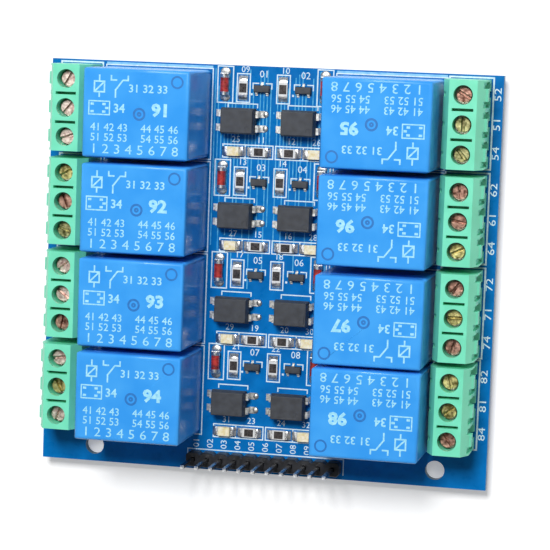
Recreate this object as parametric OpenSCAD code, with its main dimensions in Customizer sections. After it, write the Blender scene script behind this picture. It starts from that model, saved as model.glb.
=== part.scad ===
// Relay module board: eight sealed relays in two columns, eight three-way
// screw terminal blocks along the two sides, one driver channel per relay in
// the middle and a control header along the lower edge.
// Frame: +Z up out of the component side, +X along the header's pins, origin
// under the middle of the board at the level of the lowest pin ends.

/* [Board] */
// Thickness of the circuit board
board_t = 1.6; // [1.2:0.1:2.4]
// Bare strip between each side edge and the foot of the terminal blocks
edge_strip = 1.8; // [1.5:0.1:5]
// Bare strip between the upper edge and the first terminal block
head_strip = 0.75; // [0.5:0.05:5]
// Bare strip between the lowest relay and the lower edge, where the header stands
foot_strip = 6.6; // [6:0.1:12]
// Width of the open channel between the two relay columns
channel_w = 22.85; // [21.5:0.1:30]
// Diameter of the two mounting holes
hole_d = 3.4; // [2.6:0.1:3.6]
// Mounting holes from the lower edge to their centres
hole_inset = 2.95; // [2.4:0.05:3.5]
// Left mounting hole from the left edge
hole_left = 9.8; // [6:0.1:14]
// Right mounting hole from the right edge
hole_right = 9.1; // [6:0.1:14]

/* [Relays] */
// Length of a relay case, across the board
relay_l = 19.0; // [18:0.1:21]
// Width of a relay case, along its column
relay_w = 15.5; // [15:0.1:17]
// Height of a relay case without its feet
case_h = 15.0; // [13:0.1:20]
// Height of the feet that hold a case off the board
relay_lift = 0.3; // [0.2:0.05:0.8]
// Wall of the moulded case
case_wall = 0.9; // [0.6:0.1:1.2]
// Radius along the outer edges of the case
case_r = 0.75; // [0.3:0.05:0.85]
// Thickness of the base plate that closes a case
base_t = 1.5; // [1:0.1:2.5]
// Depth of the base plate inside the rim of the case
base_recess = 0.5; // [0.2:0.1:1]
// Width and thickness of a relay pin
relay_pin = [1.0, 0.5];
// Length of a relay pin below the board
relay_pin_stub = 2.2; // [2:0.1:3]
// Distance between the two outer rows of relay pins
pin_span_y = 12.0; // [10:0.1:12.4]
// Distance between the coil's common pin and the contact pins
pin_span_x = 14.2; // [13:0.1:15]
// Setback of the two coil pins from the common pin
coil_pin_setback = 2.0; // [1.6:0.1:3]
// Diameter of the coil winding
coil_d = 9.4; // [7:0.1:10.5]
// Gap from the left relays to their terminal blocks
relay_gap_left = 1.0; // [0.4:0.1:4]
// Gap from the right relays to their terminal blocks
relay_gap_right = 0.65; // [0.3:0.05:4]
// Smallest gap from row to row
row_gap = 1.0; // [0.8:0.05:4]

/* [Terminal blocks] */
// Distance between neighbouring poles
term_pitch = 5.08; // [5:0.01:5.5]
// Depth of a block at its foot, from wire side to relay side
term_d = 7.6; // [7:0.1:9]
// Height of a block
term_h = 10.0; // [9.5:0.1:14]
// Height where the wire side starts to lean inwards
shoulder_h = 7.6; // [6.4:0.1:8]
// Lean of the shoulder, measured across the block
shoulder_in = 1.15; // [0.6:0.05:1.6]
// Lean of the relay side above its heel, measured across the block
back_in = 1.3; // [0.4:0.05:1.6]
// Height of the upright heel on the relay side
heel_h = 7.3; // [6.8:0.1:8.4]
// How far the brows over the wire entries stand proud
brow_out = 0.35; // [0.2:0.05:0.4]
// Diameter of the bore over each clamping screw
screw_bore_d = 3.3; // [3:0.1:3.6]
// Diameter of a clamping screw's head
screw_head_d = 2.5; // [2.4:0.1:3]
// Height of a clamping screw's head
screw_head_h = 1.8; // [1:0.1:2.2]
// Depth of the screw heads below the top of the block
screw_recess = 1.6; // [0.6:0.1:2.4]
// Diameter of a clamping screw's thread
screw_d = 2.3; // [2:0.1:2.4]
// Width of the driver slot in a screw head
driver_slot = 0.5; // [0.4:0.05:0.8]
// Width of the narrow slots between the screw bores
crown_slot_w = 0.5; // [0.4:0.05:0.8]
// Depth of the narrow slots between the screw bores
crown_slot_h = 2.6; // [1:0.1:2.8]
// Wall between the clamp chambers, and under them
chamber_wall = 1.0; // [0.8:0.05:1.2]
// Width of the wire entry inside its funnel
entry_w = 2.8; // [2:0.1:3]
// Height of the wire entry inside its funnel
entry_h = 3.0; // [2.4:0.1:3.2]
// Width by which the funnel is wider all round at the wire side
funnel_flare = 0.6; // [0.3:0.05:0.7]
// Wall of the metal clamp
clamp_wall = 0.6; // [0.5:0.05:0.8]
// Width and thickness of a terminal pin
term_pin = [1.0, 0.8];
// Length of a terminal pin below the board
term_pin_stub = 1.9; // [1.6:0.1:1.9]
// How far the blocks sit above the middle of their relays
term_rise = 0.4; // [0:0.1:0.6]

/* [Header] */
// Number of header pins
header_pins = 11; // [8:1:14]
// Distance between header pins
header_pitch = 2.54; // [2.5:0.01:2.6]
// Height of the header's plastic strip
header_h = 2.54; // [2:0.01:4]
// Side of a square header pin
header_pin_w = 0.64; // [0.5:0.01:0.7]
// Height of the header pins above the board
header_pin_h = 10.8; // [7:0.1:12]
// Length of a header pin below the board
header_pin_stub = 1.5; // [1.2:0.1:1.9]
// Distance from the lower edge to the pins
header_inset = 2.1; // [1.5:0.1:2.2]
// Distance from the board's middle to the header's middle
header_shift = 0.9; // [-3:0.1:3]

/* [Driver channels] */
// Length of an optocoupler's body, between its two rows of leads
opto_l = 6.2; // [6:0.1:6.6]
// Width of an optocoupler's body
opto_w = 4.6; // [4.2:0.1:4.8]
// Height of an optocoupler's body
opto_h = 3.5; // [2.5:0.1:4]
// Distance from the relay face to the middle of an optocoupler, in the left and the right column
opto_in = [5.55, 6.45];
// Distance from the relay face to the middle of a diode, in both columns
diode_in = [2.6, 2.25];
// Distance from the relay face to the middle of an upright resistor, in both columns
upright_in = [5.9, 9.75];
// Distance from the relay face to the middle of a transistor, in both columns
tran_in = [9.3, 6.1];
// Distance from the relay face to the middle of a lamp, in both columns
lamp_in = [4.55, 3.75];
// Gap between a lamp and its resistor, from solder to solder
chip_gap = 0.15; // [0.1:0.05:0.4]
// How much further down the optocouplers and lamps sit from row to row
lower_drift = 0.25; // [0:0.05:0.3]
// Length of a chip resistor or lamp
chip_l = 3.2; // [3:0.05:3.4]
// Width of a chip resistor or lamp
chip_w = 1.6; // [1.2:0.05:1.7]
// Height of a chip resistor
chip_h = 0.6; // [0.4:0.05:0.8]
// Length of the tinned ends of a chip
chip_cap = 0.45; // [0.3:0.05:0.6]
// Length of the solder beyond each end of a chip
chip_solder = 0.6; // [0.4:0.05:0.8]
// Length of a glass diode
diode_l = 3.6; // [3.4:0.1:3.8]
// Diameter of a glass diode's end caps
diode_d = 1.65; // [1.4:0.05:1.7]
// Width of a transistor's body, along its leads' rows
tran_l = 2.9; // [2.7:0.1:3.1]
// Depth of a transistor's body
tran_w = 1.3; // [1.2:0.05:1.5]
// Height of a transistor's body
tran_h = 1.0; // [0.9:0.05:1.2]
// Thickness of the leads of optocouplers and transistors
lead_t = 0.18; // [0.12:0.02:0.25]
// Gap from the optocouplers up to the upper row of parts
upper_gap = 1.3; // [1.1:0.05:1.5]
// Gap from the optocouplers down to the lower row of parts
lower_gap = 2.3; // [2:0.1:2.6]

/* [Hidden] */
SIDES = [0, 1];             // 0 is the left column, 1 the right one
ROWS = [0, 1, 2, 3];        // counted from the upper edge
POLES = [-1, 0, 1];
fit = 0.05;                 // clearance of pieces that are pressed or glued together
slide = 0.1;                // clearance round pins and screws
eps = 0.01;                 // overshoot of cutting tools past a face

// Heights. The board lies on its relay pins, which reach down to zero.
board_z = relay_pin_stub;
top_z = board_z + board_t;

// Rows and columns
term_len = 3*term_pitch;
row_pitch = max(relay_w, term_len) + row_gap;
board_h = head_strip + term_len/2 + term_rise + 3*row_pitch + relay_w/2 + foot_strip;
board_w = 2*edge_strip + 2*term_d + relay_gap_left + relay_gap_right + 2*relay_l + channel_w;
left_relay_x = -board_w/2 + edge_strip + term_d + relay_gap_left + relay_l/2;
right_relay_x = board_w/2 - edge_strip - term_d - relay_gap_right - relay_l/2;
third_right_sag = 0.5;      // the third relay of the right column sits this much lower
function row_y(row) = board_h/2 - head_strip - term_len/2 - term_rise - row*row_pitch;
function sag(side, row) = side == 1 && row == 2 ? third_right_sag : 0;
function relay_xy(side, row) = [side == 0 ? left_relay_x : right_relay_x, row_y(row) - sag(side, row)];
// the last block of each column stands slightly off its row
last_block_off = [[-0.3, 0], [-0.2, 0.3]];
function block_off(side, row) = row == 3 ? last_block_off[side] : [0, 0];
function term_xy(side, row) =
    [(side == 0 ? -1 : 1)*(board_w/2 - edge_strip), row_y(row) + term_rise] + block_off(side, row);
function channel_face(side) = side == 0 ? left_relay_x + relay_l/2 : right_relay_x - relay_l/2;
function inward(side) = side == 0 ? 1 : -1;

// Relay pins, from the relay's middle, with the coil end towards the channel
common_x = pin_span_x/2;
relay_pin_places = [
    [common_x, 0],
    [common_x - coil_pin_setback, pin_span_y/2], [common_x - coil_pin_setback, -pin_span_y/2],
    [-common_x, pin_span_y/2], [-common_x, -pin_span_y/2]
];
base_z = relay_lift + base_recess;
cavity = [relay_l - 2*case_wall, relay_w - 2*case_wall];
bobbin_h = case_h - case_wall - base_recess - base_t - 2.6;
bobbin_flange = 0.9;
yoke_t = 1.2;
ring_d = 2.2;               // moulding rings in the top of a case
ring_w = 0.25;
ring_depth = 0.12;
ring_places = [[7.3, 5.7], [0.7, 0]];

// Terminal blocks, from the wire side inwards
crown_front = brow_out + shoulder_in;
crown_back = term_d - back_in;
screw_x = (crown_front + crown_back)/2;
floor_z = chamber_wall;
clamp_top = term_h - screw_recess - screw_head_h;
chamber_top = clamp_top + 0.3;
clamp_d = 3.8;              // clamp across the block
clamp_w = term_pitch - chamber_wall - 2*slide - 0.2;
chamber_x = [screw_x - clamp_d/2 - slide, screw_x + clamp_d/2 + slide];
entry_z = floor_z + clamp_wall + 0.2;
entry_top = entry_z + entry_h;
crown_slot_l = screw_bore_d + 0.4;
thread_len = 3.2;           // screw thread below its head
notch_d = 0.9;              // notch in the lower lip of a wire entry
groove_d = 0.5;             // grooves beside a wire entry
groove_w = 1.1;
groove_z = 2.6;
screw_turns = [10, 25, 30, 80, 55, 15, 40, 70, 20, 35, 60, 5, 75, 45, 65, 50, 85, 12, 28, 90, 38, 52, 18, 62];

// Header
header_w = header_pitch;
header_chamfer = 0.45;
header_y = -board_h/2 + header_inset;
header_x0 = header_shift - header_pitch*(header_pins - 1)/2;
pin_tip = 0.6;

// Mounting holes
hole_y = -board_h/2 + hole_inset;
hole_places = [[-board_w/2 + hole_left, hole_y], [board_w/2 - hole_right, hole_y]];

// Driver channels. Places are [distance from the relay face, height above the row's middle].
// The optocouplers, lamps and lamps' resistors of one row sit a little lower than those above.
opto_rise = -0.95;
opto_lead_w = 1.2;
opto_lead_pitch = 2.54;
opto_foot = 1.3;
body_band = 0.3;            // upright band of a moulded body, where its leads come out
upper_y = opto_rise + opto_w/2 + upper_gap;
lower_y = opto_rise - opto_w/2 - lower_gap - chip_w/2;
chip_run = chip_l + 2*chip_solder;   // a chip with the solder at its ends
lamp_h = 1.0;
diode_cap = 0.55;
glass_d = diode_d - 0.15;
tran_lead_w = 0.42;
tran_foot = 0.55;
tran_lead_gap = 0.95;
diode_rise = 0.9;           // from the lower edge of the upper row to a diode's lower cap
tran_rise = 0.95;           // from the lower edge of the upper row to a transistor's lower feet
function diode_place(side) = [diode_in[side], upper_y + diode_rise + diode_l/2];
function upright_place(side) = [upright_in[side], upper_y + chip_run/2];
function tran_place(side) = [tran_in[side], upper_y + tran_rise + tran_foot + tran_w/2];
function opto_place(side, row) = [opto_in[side], opto_rise - row*lower_drift];
function lamp_place(side, row) = [lamp_in[side], lower_y - row*lower_drift];
function ballast_place(side, row) = lamp_place(side, row) + [chip_run + chip_gap, 0];

// Solder joints under the board
joint_r = 0.95;
joint_h = 1.1;

// ---- helpers ----

// One piece number from 1 to 8 gives its column and its row
function side_of(k) = floor((k - 1)/4);
function row_of(k) = (k - 1)%4;

// Stands its children at a relay, turned so that +X looks into the channel
module at_relay(k) {
    place = relay_xy(side_of(k), row_of(k));
    translate([place.x, place.y, top_z]) rotate(180*side_of(k)) children();
}

// Stands its children at a terminal block, with +X from its wire side inwards
module at_terminal(k) {
    place = term_xy(side_of(k), row_of(k));
    translate([place.x, place.y, top_z]) rotate(180*side_of(k)) children();
}

// Stands its children on the board at a place of one driver channel
module in_channel(side, row, place) {
    translate([channel_face(side) + inward(side)*place.x, row_y(row) + place.y, top_z]) children();
}

module every_channel() {
    for (side = SIDES, row = ROWS) {
        $side = side;
        $row = row;
        children();
    }
}

// A box that stands on its middle
module block(size) {
    translate([-size.x/2, -size.y/2, 0]) cube(size);
}

// A rectangle with round corners
module soft_square(l, w, r) {
    square([l - 2*r, w], center = true);
    square([l, w - 2*r], center = true);
    for (x = [-1, 1], y = [-1, 1]) translate([x*(l/2 - r), y*(w/2 - r)]) circle(r, $fn = 32);
}

// An upright outline, width along X and height along Z, drawn out along Y
module across(depth) {
    translate([0, depth/2, 0]) rotate([90, 0, 0]) linear_extrude(depth) children();
}

// A box with every edge rounded, apart from those round its open underside
module soft_box(l, w, h, r) {
    intersection() {
        linear_extrude(h) soft_square(l, w, r);
        across(w) translate([0, h/2 - r]) soft_square(l, h + 2*r, r);
        rotate(90) across(l) translate([0, h/2 - r]) soft_square(w, h + 2*r, r);
    }
}

// A moulded chip body: narrower above and below the band where its leads leave it
module moulded_body(l, w, h, draft) {
    low = (h - body_band)/2;
    intersection() {
        across(w) body_outline(l, low, h, draft);
        rotate(90) across(l) body_outline(w, low, h, draft);
    }
}

module body_outline(l, low, h, draft) {
    polygon([
        [-l/2 + draft, 0], [l/2 - draft, 0], [l/2, low], [l/2, low + body_band],
        [l/2 - draft, h], [-l/2 + draft, h], [-l/2, low + body_band], [-l/2, low]
    ]);
}

// A bent lead that leaves a body at height z and ends in a foot on the board
module gull_lead(z, foot, w) {
    knee = 0.35*foot;
    across(w) polygon([
        [0, z], [0, z - lead_t], [knee - lead_t, z - lead_t], [knee - lead_t, 0],
        [foot, 0], [foot, lead_t], [knee, lead_t], [knee, z]
    ]);
}

// A tapered opening: w by h at x = 0, wider by flare all round at x = -depth
module funnel(w, h, flare, depth) {
    intersection() {
        across(w + 2*flare)
            polygon([[0, 0], [0, h], [-depth, h + flare], [-depth, -flare]]);
        translate([0, 0, -flare]) linear_extrude(h + 2*flare)
            polygon([[0, -w/2], [0, w/2], [-depth, w/2 + flare], [-depth, -w/2 - flare]]);
    }
}

// ---- circuit board ----

module circuit_board() {
    color("#0b5aa5") difference() {
        translate([0, 0, board_z]) block([board_w, board_h, board_t]);
        for (place = hole_places) drill(place, hole_d);
        for (place = relay_holes) drill(place, norm(relay_pin) + 2*slide);
        for (place = terminal_holes) drill(place, norm(term_pin) + 2*slide);
        for (place = header_holes) drill(place, header_pin_w*sqrt(2) + 2*slide);
    }
}

module drill(place, d) {
    translate([place.x, place.y, board_z - eps]) cylinder(d = d, h = board_t + 2*eps, $fn = 32);
}

relay_holes = [for (side = SIDES, row = ROWS, pin = relay_pin_places)
    relay_xy(side, row) + inward(side)*pin];
terminal_holes = [for (side = SIDES, row = ROWS, pole = POLES)
    term_xy(side, row) + inward(side)*[screw_x, pole*term_pitch]];
header_holes = [for (i = [0:header_pins - 1]) [header_x0 + i*header_pitch, header_y]];

// ---- relays ----

// Moulded case: a thin shell with soft edges, four feet and two moulding rings
module relay_case(k) {
    color("#3f8fe8") at_relay(k) {
        translate([0, 0, relay_lift]) difference() {
            soft_box(relay_l, relay_w, case_h, case_r);
            translate([0, 0, -eps]) block([cavity.x, cavity.y, case_h - case_wall + eps]);
            for (place = ring_places) translate([place.x, place.y, case_h - ring_depth]) moulding_ring();
        }
        for (x = [-1, 1], y = [-1, 1])
            translate([x*(relay_l/2 - case_r - case_wall/2), y*(relay_w/2 - case_wall/2), 0])
                block([case_wall, case_wall, relay_lift]);
    }
}

module moulding_ring() {
    difference() {
        cylinder(d = ring_d, h = ring_depth + eps, $fn = 32);
        translate([0, 0, -eps]) cylinder(d = ring_d - 2*ring_w, h = ring_depth + 3*eps, $fn = 32);
    }
}

// Base plate with its five moulded-in pins
module relay_base(k) {
    color("#2b2f36") at_relay(k) {
        translate([0, 0, base_z]) block([cavity.x - 2*fit, cavity.y - 2*fit, base_t]);
        for (place = relay_pin_places)
            translate([place.x, place.y, -board_t - relay_pin_stub])
                block([relay_pin[1], relay_pin[0], board_t + relay_pin_stub + base_z + base_t/2]);
    }
}

// Coil on its bobbin, yoke, armature, moving contact and its two fixed contacts
module relay_works(k) {
    coil_x = cavity.x/2 - coil_d/2 - yoke_t - 0.6;
    deck = bobbin_h + yoke_t;
    blade_t = 0.4;
    blade_x = coil_x - coil_d/2 - 1.4;
    post_x = blade_x - 2.2;
    color("#b5652b") at_relay(k) translate([0, 0, base_z + base_t]) {
        translate([coil_x, 0, 0]) {
            cylinder(d = coil_d, h = bobbin_h, $fn = 48);
            for (z = [0, bobbin_h - bobbin_flange])
                translate([0, 0, z]) block([coil_d + 0.6, coil_d + 1.2, bobbin_flange]);
        }
        // L-shaped yoke behind the coil, and the armature over it
        translate([coil_x + coil_d/2 + 0.3 + yoke_t/2, 0, 0]) block([yoke_t, coil_d, deck]);
        translate([coil_x, 0, bobbin_h]) block([coil_d + 0.6, coil_d, yoke_t]);
        // moving contact blade, held by the armature, between the fixed contacts
        translate([blade_x, 0, bobbin_h]) block([2*(coil_x - coil_d/2 - blade_x), 4, yoke_t]);
        translate([blade_x, 0, bobbin_h*0.35]) block([blade_t, 4, bobbin_h*0.65]);
        for (side = [-1, 1]) translate([post_x - (side + 1)*0.6, side*pin_span_y/2*0.7, 0])
            block([0.8, 2.4, bobbin_h*0.7]);
    }
}

// ---- terminal blocks ----

// Moulded housing of three poles, with its wire entries, chambers, screw bores and slots
module terminal_housing(k) {
    color("#7fe0bd") at_terminal(k) difference() {
        union() {
            across(term_len) housing_outline();
            for (pole = POLES) translate([0, pole*term_pitch, 0]) brow();
        }
        for (pole = POLES) translate([0, pole*term_pitch, 0]) pole_cuts();
        for (gap = [-0.5, 0.5]) translate([screw_x, gap*term_pitch, term_h - crown_slot_h])
            block([crown_slot_l, crown_slot_w, crown_slot_h + eps]);
    }
}

module housing_outline() {
    polygon([
        [brow_out, 0], [term_d, 0], [term_d, heel_h],
        [crown_back, term_h], [crown_front, term_h], [brow_out, shoulder_h]
    ]);
}

// Small hood that stands proud over a wire entry
module brow() {
    brow_w = 2.6;
    across(brow_w) polygon([
        [0, entry_top + funnel_flare], [brow_out, entry_top + funnel_flare],
        [brow_out + eps, shoulder_h], [0, shoulder_h - brow_out]
    ]);
}

// Everything that is cut out of one pole
module pole_cuts() {
    chamber_l = chamber_x[1] - chamber_x[0];
    chamber_w = term_pitch - chamber_wall;
    // bore for the screw and the driver, and the chamber of the clamp
    translate([screw_x, 0, floor_z]) cylinder(d = screw_bore_d, h = term_h, $fn = 48);
    translate([screw_x, 0, floor_z]) block([chamber_l, chamber_w, chamber_top - floor_z]);
    // wire entry with its funnel and the notch in its lower lip
    translate([chamber_x[0]/2, 0, entry_z]) block([chamber_x[0] + 2*eps, entry_w, entry_h]);
    translate([brow_out + 1.2, 0, entry_z]) funnel(entry_w, entry_h, funnel_flare, 1.2 + brow_out);
    translate([brow_out, 0, -eps]) block([2*notch_d, 1.1, entry_z + eps]);
    // grooves beside the entry, which run out in the shoulder
    for (side = [-1, 1]) translate([brow_out, side*(term_pitch/2 - 0.9), groove_z])
        block([2*groove_d, groove_w, shoulder_h + 0.6 - groove_z]);
    // notch at the top of the heel, window in the relay side, and the slot for the pin
    translate([term_d, 0, heel_h - 0.6]) block([1.1, 0.8, 2]);
    translate([(chamber_x[1] + term_d)/2, 0, chamber_top - 2.4])
        block([term_d - chamber_x[1] + 2*eps, 1.6, 2]);
    translate([screw_x, 0, -eps])
        block([term_pin[1] + 2*slide, term_pin[0] + 2*slide, floor_z + 2*eps]);
}

// Slotted clamping screws, each left at its own angle
module terminal_screws(k) {
    color("#c9a28c") at_terminal(k) for (pole = POLES)
        translate([screw_x, pole*term_pitch, clamp_top]) difference() {
            union() {
                cylinder(d = screw_head_d, h = screw_head_h, $fn = 48);
                translate([0, 0, -thread_len]) cylinder(d = screw_d, h = thread_len + eps, $fn = 32);
            }
            rotate(2*screw_turns[3*(k - 1) + pole + 1])
                translate([0, 0, screw_head_h*0.55]) block([screw_head_d + 1, driver_slot, screw_head_h]);
        }
}

// Clamp cages, each bent round its wire space, with the pin that goes through the board
module terminal_clamps(k) {
    cage_h = clamp_top - floor_z;
    color("#b9b6ae") at_terminal(k) for (pole = POLES) translate([screw_x, pole*term_pitch, 0]) {
        difference() {
            translate([0, 0, floor_z]) block([clamp_d, clamp_w, cage_h]);
            translate([0, 0, floor_z + clamp_wall])
                block([clamp_d + 2*eps, clamp_w - 2*clamp_wall, cage_h - 2*clamp_wall]);
            translate([0, 0, floor_z + clamp_wall])
                cylinder(d = screw_d + 2*slide, h = cage_h, $fn = 32);
        }
        translate([0, 0, -board_t - term_pin_stub])
            block([term_pin[1], term_pin[0], board_t + term_pin_stub + floor_z + clamp_wall/2]);
    }
}

// ---- header ----

module header_strip() {
    color("#1d1d20") translate([0, header_y, top_z]) difference() {
        for (place = header_holes) translate([place.x, 0, 0]) linear_extrude(header_h) header_cell();
        for (place = header_holes) translate([place.x, 0, -eps])
            block([header_pin_w + 2*fit, header_pin_w + 2*fit, header_h + 2*eps]);
    }
}

module header_cell() {
    half = header_pitch/2;
    polygon([
        [-half, -header_w/2 + header_chamfer], [-half + header_chamfer, -header_w/2],
        [half - header_chamfer, -header_w/2], [half, -header_w/2 + header_chamfer],
        [half, header_w/2 - header_chamfer], [half - header_chamfer, header_w/2],
        [-half + header_chamfer, header_w/2], [-half, header_w/2 - header_chamfer]
    ]);
}

module header_pins() {
    color("#d8b25a") for (place = header_holes) translate([place.x, place.y, top_z]) intersection() {
        across(header_pin_w) pin_outline();
        rotate(90) across(header_pin_w) pin_outline();
    }
}

// A square pin seen from the side, with its two tapered ends
module pin_outline() {
    low = -board_t - header_pin_stub;
    half = header_pin_w/2;
    polygon([
        [-half/2, low], [half/2, low], [half, low + pin_tip], [half, header_pin_h - pin_tip],
        [half/2, header_pin_h], [-half/2, header_pin_h], [-half, header_pin_h - pin_tip],
        [-half, low + pin_tip]
    ]);
}

// ---- driver channels ----

module optocouplers() {
    dot_d = 0.9;
    dot_in = 1.05;
    color("#3c3c40") every_channel() in_channel($side, $row, opto_place($side, $row)) difference() {
        moulded_body(opto_l, opto_w, opto_h, 0.25);
        translate([opto_l/2 - dot_in, dot_in - opto_w/2, opto_h - 0.1]) cylinder(d = dot_d, h = 1, $fn = 24);
    }
}

module optocoupler_leads() {
    lead_z = opto_h/2 + lead_t/2;
    color("#c8c9c4") every_channel() in_channel($side, $row, opto_place($side, $row))
        for (end = [0, 180], y = [-1, 1]*opto_lead_pitch/2)
            rotate(end) translate([opto_l/2, y, 0]) gull_lead(lead_z, opto_foot, opto_lead_w);
}

module transistors() {
    color("#3c3c40") every_channel() in_channel($side, $row, tran_place($side))
        moulded_body(tran_l, tran_w, tran_h, 0.12);
}

// One lead above the body and two below it
module transistor_leads() {
    lead_z = tran_h/2 + lead_t/2;
    color("#c8c9c4") every_channel() in_channel($side, $row, tran_place($side)) {
        rotate(90) translate([tran_w/2, 0, 0]) gull_lead(lead_z, tran_foot, tran_lead_w);
        for (x = [-1, 1]*tran_lead_gap) rotate(-90) translate([tran_w/2, x, 0])
            gull_lead(lead_z, tran_foot, tran_lead_w);
    }
}

module diode_glass() {
    color("#b8301f") every_channel() in_channel($side, $row, diode_place($side))
        translate([0, 0, diode_d/2]) rotate([90, 0, 0])
            cylinder(d = glass_d, h = diode_l - 2*diode_cap, center = true, $fn = 32);
}

module resistors() {
    color("#2a2a2c") every_channel() {
        in_channel($side, $row, upright_place($side)) rotate(90) chip_body(chip_h);
        in_channel($side, $row, ballast_place($side, $row)) chip_body(chip_h);
    }
}

// Body of a chip, between its tinned ends
module chip_body(h) {
    block([chip_l - 2*chip_cap, chip_w, h]);
}

// Lamps: a pale base with a soft lens on it
module lamps() {
    base_h = lamp_h/2;
    lens_l = chip_l - 2*chip_cap;
    color("#efe6c4") every_channel() in_channel($side, $row, lamp_place($side, $row)) {
        block([lens_l, chip_w, base_h]);
        translate([0, 0, base_h - eps]) across(chip_w) polygon([
            [-lens_l/2, 0], [lens_l/2, 0], [lens_l/2 - 0.12, lamp_h - base_h],
            [-lens_l/2 + 0.12, lamp_h - base_h]
        ]);
    }
}

// Tinned ends of chips, lamps and diodes, with the solder that holds them
module chip_ends() {
    color("#cfd0cc") every_channel() {
        in_channel($side, $row, upright_place($side)) rotate(90) both_ends() chip_end(chip_h);
        in_channel($side, $row, ballast_place($side, $row)) both_ends() chip_end(chip_h);
        in_channel($side, $row, lamp_place($side, $row)) both_ends() chip_end(lamp_h/2);
        in_channel($side, $row, diode_place($side)) rotate(90) for (end = [0, 180]) rotate(end) diode_end();
    }
}

module both_ends() {
    for (end = [0, 180]) rotate(end) translate([chip_l/2, 0, 0]) children();
}

// One tinned end and its fillet of solder, running outwards from x = 0
module chip_end(h) {
    across(chip_w) polygon([
        [-chip_cap, 0], [chip_solder, 0], [chip_solder, 0.08], [0.2, 0.6*h], [0.05, h], [-chip_cap, h]
    ]);
}

module diode_end() {
    translate([diode_l/2 - diode_cap, 0, diode_d/2]) rotate([0, 90, 0])
        cylinder(d = diode_d, h = diode_cap, $fn = 32);
    translate([diode_l/2, 0, 0]) across(diode_d - 0.2) polygon([
        [-diode_cap/2, 0], [chip_solder, 0], [chip_solder, 0.08], [0.15, 0.55*diode_d],
        [-diode_cap/2, 0.55*diode_d]
    ]);
}

// Cones of solder round every pin under the board
module solder_joints() {
    color("#c4c6c8") {
        for (place = relay_holes) solder_cone(place, [relay_pin[1], relay_pin[0]]);
        for (place = terminal_holes) solder_cone(place, [term_pin[1], term_pin[0]]);
        for (place = header_holes) solder_cone(place, [header_pin_w, header_pin_w]);
    }
}

module solder_cone(place, pin) {
    translate([place.x, place.y, board_z - joint_h]) difference() {
        cylinder(r1 = norm(pin)/2 + 0.12, r2 = joint_r, h = joint_h, $fn = 24);
        translate([0, 0, -eps]) block([pin.x + fit, pin.y + fit, joint_h + 2*eps]);
    }
}

// ---- drawing ----

circuit_board();
for (k = [1:8]) {
    relay_case(k);
    relay_base(k);
    relay_works(k);
    terminal_housing(k);
    terminal_screws(k);
    terminal_clamps(k);
}
header_strip();
header_pins();
optocouplers();
optocoupler_leads();
transistors();
transistor_leads();
diode_glass();
resistors();
lamps();
chip_ends();
solder_joints();
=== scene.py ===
"""Relay module board: finishes, print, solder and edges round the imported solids.

Laid out as an add-on. Each operator dresses or builds one group of like pieces,
the panel lists them, and main() runs them in order. Lengths are in metres and
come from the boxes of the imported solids.
"""

import math

import bmesh
import bpy
from bpy.props import FloatProperty, FloatVectorProperty, IntProperty, PointerProperty
from mathutils import Matrix, Vector


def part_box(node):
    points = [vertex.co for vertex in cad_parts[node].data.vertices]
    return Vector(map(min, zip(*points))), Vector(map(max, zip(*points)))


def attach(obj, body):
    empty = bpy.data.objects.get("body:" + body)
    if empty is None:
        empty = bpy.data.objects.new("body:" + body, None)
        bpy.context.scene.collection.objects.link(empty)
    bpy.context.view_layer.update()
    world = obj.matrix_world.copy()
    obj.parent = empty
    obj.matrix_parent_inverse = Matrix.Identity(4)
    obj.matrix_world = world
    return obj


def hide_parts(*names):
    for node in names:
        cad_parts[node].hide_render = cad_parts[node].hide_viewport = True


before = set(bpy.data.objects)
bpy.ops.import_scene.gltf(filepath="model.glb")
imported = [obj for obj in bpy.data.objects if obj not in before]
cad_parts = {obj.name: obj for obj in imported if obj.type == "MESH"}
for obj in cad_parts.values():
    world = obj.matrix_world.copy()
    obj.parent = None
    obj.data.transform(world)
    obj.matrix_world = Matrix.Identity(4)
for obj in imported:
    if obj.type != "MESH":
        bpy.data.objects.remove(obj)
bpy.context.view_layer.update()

bl_info = {
    "name": "Relay Module Board",
    "version": (1, 0, 0),
    "blender": (4, 5, 0),
    "location": "View3D > Sidebar > Relay Board",
    "description": "Builds the looks of a relay module board round its packed solids",
    "category": "Object",
}

MM = 0.001
PIECES = range(1, 9)  # relays and terminal blocks, 1 to 4 down the left column
RIGHT = PIECES[4:]  # those of the right column, whose relays are turned round
UPPERMOST = (PIECES[0], RIGHT[0])  # the ones next to the board's upper edge
BOARD_LOW, BOARD_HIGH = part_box("circuit_board")
TOP = BOARD_HIGH.z  # component side of the board
INK = 0.03 * MM  # thickness of print; what lies beside or under it differs from that
WELD = 0.002 * MM  # corners nearer than this are one corner
NOISE_ENDS = {"From Min": 0.32, "From Max": 0.68}  # noise seldom goes past these
GRAIN_STRENGTH = 0.6  # share of a grain's depth that shows


# ---------------------------------------------------------------- sizes and colours


def from_hex(value):
    """Red, green and blue of an sRGB hex value, each from 0 to 1"""
    return [int(value[i : i + 2], 16) / 255 for i in (1, 3, 5)]


def hex_colour(name, description, value):
    """A colour property whose default is an sRGB hex value, shown as such in the panel"""
    return FloatVectorProperty(
        name=name,
        description=description,
        subtype="COLOR_GAMMA",
        size=3,
        min=0.0,
        max=1.0,
        default=from_hex(value),
    )


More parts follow.
